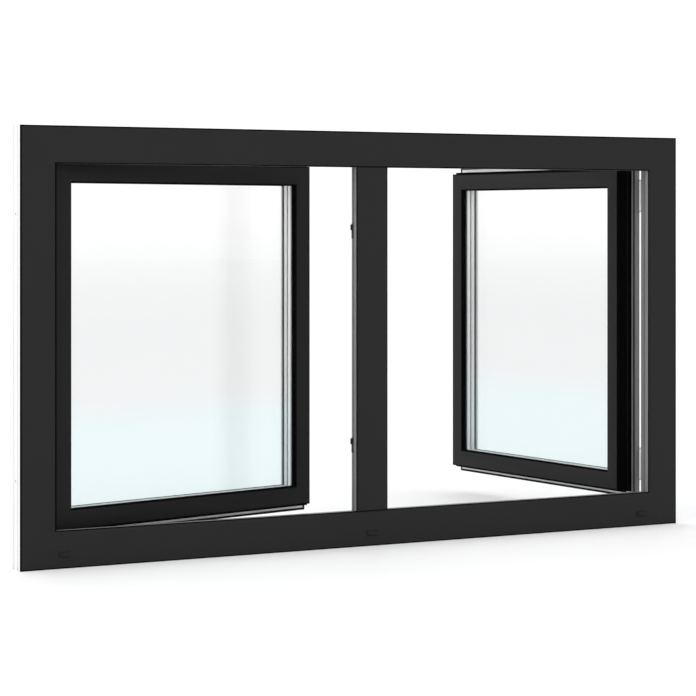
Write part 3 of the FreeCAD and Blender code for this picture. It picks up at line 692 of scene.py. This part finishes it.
# %% Carry a section round a rectangle
def ring_points(section, rectangle):
    """At each corner of the rectangle a section point moves in by its reach along both sides:
    x = side + reach and z = side + reach, and y = weather face + depth."""
    x0, z0, x1, z1 = rectangle
    depth, reach = section[:, 0] * MM, section[:, 1] * MM
    x = np.stack([x0 + reach, x1 - reach, x1 - reach, x0 + reach])
    z = np.stack([z0 + reach, z0 + reach, z1 - reach, z1 - reach])
    return np.stack([x, np.broadcast_to(weather + depth, x.shape), z], -1)


def ring(section, rectangle):
    """One welded ring: the four mitre sections, each joined to the next."""
    points = ring_points(section, rectangle)
    return points.reshape(-1, 3), grid_faces(4, len(section), True, True), []


def mitred_bars(section, rectangle, joint):
    """Four bars: each runs from one mitre section to the next and stops half a joint short of
    both, so that a fine open line stays between them."""
    points = ring_points(section, rectangle)
    count = len(section)
    runs = np.array([(1, 0, 0), (0, 0, 1), (-1, 0, 0), (0, 0, -1)])[:, None] * joint / 2
    bars = np.stack([points + runs, np.roll(points, -1, 0) - runs], 1).reshape(4, 2 * count, 3)
    caps = [np.arange(count)[::-1], np.arange(count) + count]
    return repeated(bars, grid_faces(2, count, close_columns=True), caps)


print("section tools ready")

# %% [markdown]
# ## Sash profile
# Each sash is four lengths of one profile, welded at the corners: a face with a sloped lip
# that holds the glass, a flange that laps over the frame on the room side, and a groove for
# the lock's hardware.  One ring swept with rounded corners stands for the four members,
# because a welded sash has no gap at its mitres.

# %% Sweep both sash rings
SASH_SECTION = softened([
    (20, 20, 1.6), (20, 63, 1.4), (23, 67, 1.4), (33, 67, 0.5), (33, 49, 0.2), (80, 49, 0.3),
    (80, 3, 1.6), (77, 0, 1.6), (63, 0, 0.8), (63, 15, 0.3), (59, 15, 0.5), (59, 24, 0.5),
    (47, 24, 0.5), (47, 15, 0.5), (35, 15, 1.2), (35, 20, 0.4)])
MEMBERS = ("sash_bottom_rail", "sash_top_rail", "sash_hinge_stile", "sash_lock_stile")


def in_place(shape, side, swings=True):
    """A left-light shape, put where it stands in one of the lights."""
    points, quads, caps = shape
    return stand(points, side, swings), quads, caps


for side in SIDES:
    made = make_piece(side + " sash profile", in_place(ring(SASH_SECTION, SASH), side), profile[side],
                      side + "_sash", [f"{side}_{member}" for member in MEMBERS])
    print(made.name, len(made.data.polygons), "faces")

# %% [markdown]
# ## Glazing beads
# The beads snap into the sash on the room side and can be taken out to change the glass, so
# unlike the sash they are only mitred and not welded.  They are made as four bars with a
# hair-fine gap at each mitre.  Their room-side corner is generously rounded, and a step at
# the back carries the inner gasket.

# %% Four beads to a sash
BEAD_SECTION = softened([
    (70.2, 49.2, 0.3), (80, 49.2, 0.5), (80, 62, 2.6), (75.8, 67, 2.2), (71.5, 67, 0.6), (70.2, 65.8, 0.3)],
    steps=6)
BEADS = ("bottom_bead", "top_bead", "hinge_side_bead", "lock_side_bead")
for side in SIDES:
    made = make_piece(side + " glazing beads", in_place(mitred_bars(BEAD_SECTION, SASH, 0.3 * MM), side),
                      bead_white[side], side + "_sash",
                      [f"{side}_{bead}" for bead in BEADS])
    print(made.name, len(made.data.polygons), "faces")

# %% [markdown]
# ## Seals and gaskets
# Four rubber rings seal each light: a soft lip behind the frame's nose, a bulb under the
# sash's flange, and a firm gasket on each face of the glass unit.  Each is a ring with its
# own section: a bulb is an oval, and a glazing gasket is a flat foot with a rounded lip that
# shows as a fine black line along the glass.

# %% Rubber rings
SEAL_SECTIONS = {
    "flange_seal": oval(61.6, 3.4, 1.3, 2.5),
    "outer_gasket": softened([(33, 60, 0.2), (36, 60, 0.2), (36, 66.9, 0.4), (34.9, 68.1, 0.9),
                              (33, 67.3, 0.4)]),
    "inner_gasket": softened([(68, 60, 0.2), (70.2, 60, 0.2), (70.2, 66.6, 0.3), (69.3, 67.9, 0.7),
                              (68, 67.0, 0.3)]),
}
NOSE_SEAL = softened([(17, 21, 0.2), (17, 25, 0.4), (18.2, 25.4, 0.6), (19.6, 24.2, 0.7), (19.0, 22.2, 0.6),
                      (18.0, 21.4, 0.3)])
for side in SIDES:
    for node, section in SEAL_SECTIONS.items():
        make_piece(f"{side} {node.replace('_', ' ')}", in_place(ring(section, SASH), side), rubber,
                   side + "_sash", [f"{side}_{node}"])
    make_piece(side + " nose seal", in_place(ring(NOSE_SEAL, SASH), side, swings=False), rubber,
               "frame", [side + "_frame_seal"])
print("rubber rings", 2 * (len(SEAL_SECTIONS) + 1))

# %% [markdown]
# ## Rebate ribs and edge sealant
# The rebate of a real frame is not plain: small ribs run along it to stiffen the wall and to
# guide the water.  Inside the glass unit a fine grey line of sealant joins each pane to its
# spacer.  Both are thin rings, and both matter because they break a broad pale strip into
# the fine lines seen at the reveals.

# %% Rebate ribs and sealant lines
RIBS = [softened([(depth, 6.5, 0.1), (depth, 8.1, 0.4), (depth + 1.8, 8.1, 0.4), (depth + 1.8, 6.5, 0.1)])
        for depth in (29, 37)]
SEALANT = [softened([(depth, 62, 0.05), (depth + 0.3, 62, 0.05), (depth + 0.3, 66.8, 0.1),
                     (depth, 66.8, 0.1)]) for depth in (40.1, 49.6, 54.1, 63.6)]


def rings(sections, rectangle):
    """Several rings with sections of one length, as one shape."""
    points = np.stack([ring_points(section, rectangle).reshape(-1, 3) for section in sections])
    return repeated(points, grid_faces(4, len(sections[0]), True, True), [])


for side in SIDES:
    make_piece(side + " rebate ribs", in_place(rings(RIBS, SASH), side, swings=False), profile["frame"],
               "frame")
    make_piece(side + " edge sealant", in_place(rings(SEALANT, SASH), side), butyl,
               side + "_sash")
print("ribs and sealant on", len(SIDES), "lights")

# %% [markdown]
# ## Drain caps
# Water that gets behind the seal leaves through openings in the sill, and a small hood over
# each slot keeps the wind out.  A hood is a shallow shell: its front swells from nothing at
# the top to full depth near its open lower edge, and falls away at its right end.  The shell is
# a height over a grid, given its wall by Solidify, and behind it a flat black plate is painted
# shade for the slot's opening.

# %% Three hoods and the painted shade plates behind them
caps_low, caps_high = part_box("drain_caps")
CAP_LENGTH, CAP_HEIGHT, CAP_DEPTH = 28 * MM, 11 * MM, weather - caps_low.y
cap_middles = np.array([caps_low.x + CAP_LENGTH / 2, 0.0, caps_high.x - CAP_LENGTH / 2])


def hood(middles):
    """Over u from -1 to 1 along and v from 0 (open edge) to 1 (top): the front stands off the
    face by depth * (1 - max(u, 0)^6)^(1/3) * (1 - v^3)^(1/3), so its left end is open too."""
    u, v = np.meshgrid(np.sin(np.linspace(1, -1, 33) * np.pi / 2), np.linspace(0, 1, 13) ** 0.6,
                       indexing="ij")
    rise = (1 - np.maximum(u, 0) ** 6) ** (1 / 3) * (1 - v**3) ** (1 / 3)
    flat = np.stack([u * CAP_LENGTH / 2, weather - CAP_DEPTH * rise, caps_low.z + v * CAP_HEIGHT], -1)
    points = flat.reshape(1, -1, 3) + np.array(middles)[:, None, None] * (1, 0, 0)
    return repeated(points, grid_faces(33, 13), [])


def slot_shade_plates(middles, length, height, face, level):
    """Flat rounded plates: half length (1 - |s|^6)^(1/6) outlines, as a superellipse, in two layers; painted
    shade for the drain openings.
    """
    a = np.linspace(0, 2 * np.pi, 32, endpoint=False)
    x = length / 2 * np.sign(np.cos(a)) * np.abs(np.cos(a)) ** (1 / 2)
    z = level + height / 2 * np.sign(np.sin(a)) * np.abs(np.sin(a)) ** (1 / 2)
    layers = np.stack([np.stack([x, np.full_like(x, y), z], 1) for y in (face, face - 0.15 * MM)])
    points = layers.reshape(1, -1, 3) + np.array(middles)[:, None, None] * (1, 0, 0)
    return repeated(points, grid_faces(2, 32, close_columns=True), [np.arange(32)[::-1], np.arange(32) + 32])


hoods = make_piece("drain hoods", hood(cap_middles), cap_plastic, "frame",
                   ["drain_caps"], closed=False)
wall = hoods.modifiers.new("hood wall", "SOLIDIFY")
wall.thickness, wall.offset = 0.9 * MM, -1
slot_level = caps_low.z + CAP_HEIGHT * 0.45
# Painted shade: a black plate at the sill face stands for the dark of each drain opening.
make_piece("drain slots", slot_shade_plates(cap_middles, 22 * MM, 5 * MM, weather, slot_level), rubber,
           "frame")
print("hoods at", np.round(cap_middles, 3))

# %% [markdown]
# ## Screws
# Countersunk screws hold the hinge leaves and the lock's faceplate.  A head is a
# shallow dome, worked out as a height over radius and angle, with a cross pressed into it.
# The same small grid is set down at every place, so one mesh holds each group of screws.


# %% A cross-headed screw as a height over a disc
def screw_heads(centres, outward, radius, rise):
    """Height = rise * (1 - (r/R)^2)^(1/2), less 0.6 of the rise inside a cross whose arms are
    narrower than R/6 and shorter than 0.6 R.  A point is centre + outward height +
    across r cos a + up r sin a."""
    out = np.array(outward, float)
    up = np.array((0.0, 0.0, 1.0))
    across = np.cross(up, out)
    r = radius * np.array([1.0, 1.0, 0.97, 0.9, 0.78, 0.66, 0.6, 0.5, 0.36, 0.24, 0.17, 0.1])[:, None]
    a = np.linspace(0, 2 * np.pi, 32, endpoint=False)[None, :]
    x, z = r * np.cos(a), r * np.sin(a)
    dome = rise * np.sqrt(np.clip(1 - (r / radius) ** 2, 0, 1)) * np.ones_like(a)
    thin = np.minimum(np.abs(x), np.abs(z)) < radius / 6
    cross = thin & (r < 0.62 * radius)
    height = np.where(cross, dome - 0.6 * rise, dome)
    height[0] = -0.3 * MM
    local = height[..., None] * out + x[..., None] * across + z[..., None] * up
    points = np.array(centres)[:, None, :] + local.reshape(1, -1, 3)
    count = a.size
    faces = grid_faces(len(r), count, close_columns=True)
    return repeated(points, faces, [np.arange(count)[::-1], np.arange(count) + (len(r) - 1) * count])


# %% Put the screws in
leaf_low, leaf_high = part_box("left_hinge_frame_leaves")
plate_low, plate_high = shut_box("left_hinge_sash_leaves")
case_low, case_high = shut_box("left_lock_case")
HALF_HINGE = 39.5 * MM
hinge_levels = np.array([leaf_low.z + HALF_HINGE, leaf_high.z - HALF_HINGE])
screw_levels = (hinge_levels[:, None] + np.array([-29, -10, 10, 29]) * MM).ravel()
face_levels = case_low[2] + (case_high[2] - case_low[2]) * np.array([0.013, 0.23, 0.36, 0.64, 0.77, 0.987])


def upright_row(x, y, levels):
    """Places one above the other: the same x and y with each level."""
    return np.stack([np.full(len(levels), x), np.full(len(levels), y), levels], 1)


frame_rows = upright_row(leaf_low.x + 9 * MM, room + 3 * MM, screw_levels)
sash_rows = upright_row(plate_high[0] - 9 * MM, plate_high[1], screw_levels)
plate_rows = upright_row(case_high[0], (case_low[1] + case_high[1]) / 2, face_levels)
for side in SIDES:
    make_piece(side + " frame leaf screws",
               in_place(screw_heads(frame_rows, (0, 1, 0), 3.6 * MM, 0.9 * MM), side, swings=False),
               zinc, "frame")
    make_piece(side + " sash leaf screws",
               in_place(screw_heads(sash_rows, (0, 1, 0), 3.6 * MM, 0.9 * MM), side),
               zinc, side + "_sash")
    make_piece(side + " faceplate screws",
               in_place(screw_heads(plate_rows, (1, 0, 0), 3.1 * MM, 0.5 * MM), side),
               zinc, side + "_sash")
print("screws to a light", len(frame_rows) + len(sash_rows) + len(plate_rows))

# %% [markdown]
# ## Hinge pins
# A steel pin runs through the knuckles of each hinge and ends in a domed cap above and
# below.  It is a turned part, so a profile of radius and height is spun about the hinge line
# and its two small end discs are closed.


# %% Turn the pins
def turned(profile, centres):
    """Profile rows (radius, height) spun about upright axes: centre + (r cos a, r sin a, height)."""
    r, height = np.array(profile, float).T[:, :, None] * MM
    a = np.linspace(0, 2 * np.pi, 28, endpoint=False)[None, :]
    local = np.stack(np.broadcast_arrays(r * np.cos(a), r * np.sin(a), height + 0 * a), -1)
    points = np.array(centres)[:, None, :] + local.reshape(1, -1, 3)
    ends = [np.arange(28)[::-1], np.arange(28) + (len(profile) - 1) * 28]
    return repeated(points, grid_faces(len(profile), 28, close_columns=True), ends)


PIN_HALF = 39.5
pin_cap = [(0.6, 3.0), (2.4, 2.9), (4.2, 2.3), (5.2, 1.2), (5.5, 0.3), (5.2, 0.05), (3.5, 0.0)]
pin_profile = [(r, -PIN_HALF - h) for r, h in pin_cap] + [(r, PIN_HALF + h) for r, h in pin_cap[::-1]]
pin_places = np.array([(sign * abs(hinge_line["left"][0]), hinge_line["left"][1], level)
                       for sign in (-1, 1) for level in hinge_levels])
make_piece("turned hinge pins", turned(pin_profile, pin_places), zinc, "frame",
           ["hinge_pins"])
print("pins", len(pin_places))

# %% [markdown]
# ## Thumb-turn
# Each lock is worked from the room by a low thumb-turn: a disc with a finger bar across it,
# on a soft oblong rose.  It stands so little off the sash that it stays out of sight from
# the weather side.  Rose, disc and collar are pads: one outline, drawn at several scales and
# heights.  The bar is a waisted one, so that it fits a finger and a thumb.

# %% Pads and the finger bar
def pad(centre, half_x, half_z, foot, profile, power=5.0, around=64):
    """Rows (scale, height) of one outline: scale * half size * superellipse of angle a."""
    a = np.linspace(0, 2 * np.pi, around, endpoint=False)[None, :]
    scale, height = np.array(profile, float).T[:, :, None]
    out_x = np.sign(np.cos(a)) * np.abs(np.cos(a)) ** (2 / power)
    out_z = np.sign(np.sin(a)) * np.abs(np.sin(a)) ** (2 / power)
    inset = (1 - scale) * half_x
    x = centre[0] + (half_x - inset) * out_x
    z = centre[2] + (half_z - inset) * out_z
    points = np.stack(np.broadcast_arrays(x, foot + height * MM, z), -1).reshape(-1, 3)
    ends = [np.arange(around)[::-1], np.arange(around) + (len(profile) - 1) * around]
    return points, grid_faces(len(profile), around, close_columns=True), ends


def finger_bar(centre, half_length, half_width, foot, rise, along=41, around=28):
    """Along u from -1 to 1 the bar is half_width * (0.74 + 0.26 u^2) wide, and its top is
    rise * (0.90 + 0.10 u^2) high; both shrink by (1 - |u|^8)^(1/4) at the ends.  Round it, the
    section is a superellipse of power 3.5 cut off at the foot."""
    u = np.sin(np.linspace(-0.985, 0.985, along) * np.pi / 2)[:, None]
    shrink = (1 - np.abs(u) ** 8) ** 0.25
    a = np.linspace(0, np.pi, around)[None, :]
    z = half_width * (0.74 + 0.26 * u**2) * shrink * np.sign(np.cos(a)) * np.abs(np.cos(a)) ** (2 / 3.5)
    y = rise * (0.90 + 0.10 * u**2) * shrink * np.sin(a) ** (2 / 3.5)
    x = half_length * u + 0 * a
    points = np.stack([centre[0] + x, foot + y, centre[2] + z], -1).reshape(-1, 3)
    ends = [np.arange(around)[::-1], np.arange(around) + (along - 1) * around]
    return points, grid_faces(along, around, close_columns=True), ends


def joined(*shapes):
    """Several shapes as one: each one's faces are numbered on from the points before it."""
    starts = np.cumsum([0] + [len(points) for points, _, _ in shapes[:-1]])
    return (np.concatenate([points for points, _, _ in shapes]),
            np.concatenate([quads + start for (_, quads, _), start in zip(shapes, starts)]),
            [cap + start for (_, _, caps), start in zip(shapes, starts) for cap in caps])


# %% Shape the roses and the thumb-turns
spindle = swing(np.array(joints["left_handle_turn"]["pos_m"]), "left", -1)
rose_low, rose_high = shut_box("left_handle_rose")
knob_low, knob_high = shut_box("left_handle_knob")
ROSE_RISE = (rose_high[1] - rose_low[1]) / MM
ROSE = [(1.0, 0), (1.0, 0.9), (0.975, 1.0), (0.975, 1.3), (1.0, 1.4), (1.0, 2.9), (0.985, 3.8),
        (0.94, 4.5), (0.86, 4.85), (0.5, ROSE_RISE), (0.2, ROSE_RISE)]
COLLAR = [(1.0, ROSE_RISE - 0.1), (1.0, ROSE_RISE + 0.2), (0.9, ROSE_RISE + 0.25)]
DISC = [(0.98, 0), (1.0, 0.3), (1.0, 2.0), (0.985, 2.5), (0.94, 2.85), (0.86, 3.0), (0.1, 3.0)]
knob_half = (knob_high[0] - knob_low[0]) / 2
for side in SIDES:
    rose = pad(spindle, (rose_high[0] - rose_low[0]) / 2, (rose_high[2] - rose_low[2]) / 2, rose_low[1], ROSE)
    collar = pad(spindle, 13.4 * MM, 13.4 * MM, rose_low[1], COLLAR, power=2.0)
    turn = joined(outward(pad(spindle, knob_half, knob_half, knob_low[1], DISC, power=2.0)),
                  outward(finger_bar(spindle, 11.6 * MM, 4.4 * MM, knob_low[1] + 2.4 * MM,
                                     knob_high[1] - knob_low[1] - 2.4 * MM)))
    make_piece(side + " rose", in_place(rose, side), handle_metal, side + "_sash",
               [side + "_handle_rose"])
    make_piece(side + " rose collar", in_place(collar, side), rubber, side + "_sash")
    knob = make_piece(side + " thumb turn", in_place(turn, side), handle_metal, side + "_handle",
                      [side + "_handle_knob"])
    print(knob.name, len(knob.data.polygons), "faces")

# %% [markdown]
# ## Floor, light and camera
# The window stands on a plain pale floor under soft studio light: an even pale sky, and one
# broad lamp to the left and in front that gives the edges their shape.  The camera stands to
# the left of the window a little below its head, looking level, with a long lens.

# %% Floor
FLOOR_HALF = 40.0


def floor_finish():
    paint = Paint("pale studio floor")
    x, y, z = paint.place()
    cloud = paint.noise(paint.spot(x * 2, y * 2, 0), 1.0, 3.0)
    colour = paint.blend(cloud, grey(0.985), grey(0.97))
    return paint.done(paint.principled(Base_Color=colour, Roughness=0.7 + 0.1 * cloud,
                                       Specular_IOR_Level=0.2))


floor_mesh = bpy.data.meshes.new("studio floor")
corners = np.array([(-1, -1, 0), (1, -1, 0), (1, 1, 0), (-1, 1, 0)]) * FLOOR_HALF
floor_mesh.from_pydata(corners.tolist(), [], [(0, 1, 2, 3)])
floor_mesh.materials.append(floor_finish())
floor = bpy.data.objects.new("studio floor", floor_mesh)
bpy.context.scene.collection.objects.link(floor)
print("floor half size", FLOOR_HALF)

# %% Studio light
scene = bpy.context.scene
scene.view_settings.view_transform = "Standard"
sky = bpy.data.worlds.new("pale sky")
sky.use_nodes = True
sky.node_tree.nodes["Background"].inputs["Color"].default_value = (1.0, 1.0, 1.0, 1.0)
sky.node_tree.nodes["Background"].inputs["Strength"].default_value = 1.08
scene.world = sky


def soft_lamp(name, place, target, size, power):
    """A square lamp at a place, facing a target."""
    lamp = bpy.data.lights.new(name, "AREA")
    lamp.shape, lamp.size, lamp.energy = "SQUARE", size, power
    light = bpy.data.objects.new(name, lamp)
    light.location = place
    way = np.array(target) - np.array(place)
    spin = math.atan2(way[0], -way[1])
    tilt = math.atan2(math.hypot(way[0], way[1]), -way[2])
    light.rotation_euler = (tilt, 0, spin + math.pi)
    scene.collection.objects.link(light)
    return light


soft_lamp("broad lamp", (-4.5, -2.5, 2.6), (0, 0, 0.5), 2.5, 50)
print("lamp and sky set")

# %% Camera
camera_data = bpy.data.cameras.new("camera")
camera_data.sensor_width = 36
camera_data.lens = 124.91
camera_data.shift_x, camera_data.shift_y = -0.0352, -0.1815
camera = bpy.data.objects.new("camera", camera_data)
camera.location = (-2.8264, -5.1331, 0.7828)
camera.rotation_euler = (math.pi / 2, 0, -math.radians(28.977))
scene.collection.objects.link(camera)
scene.camera = camera
print("camera at", tuple(round(value, 3) for value in camera.location))
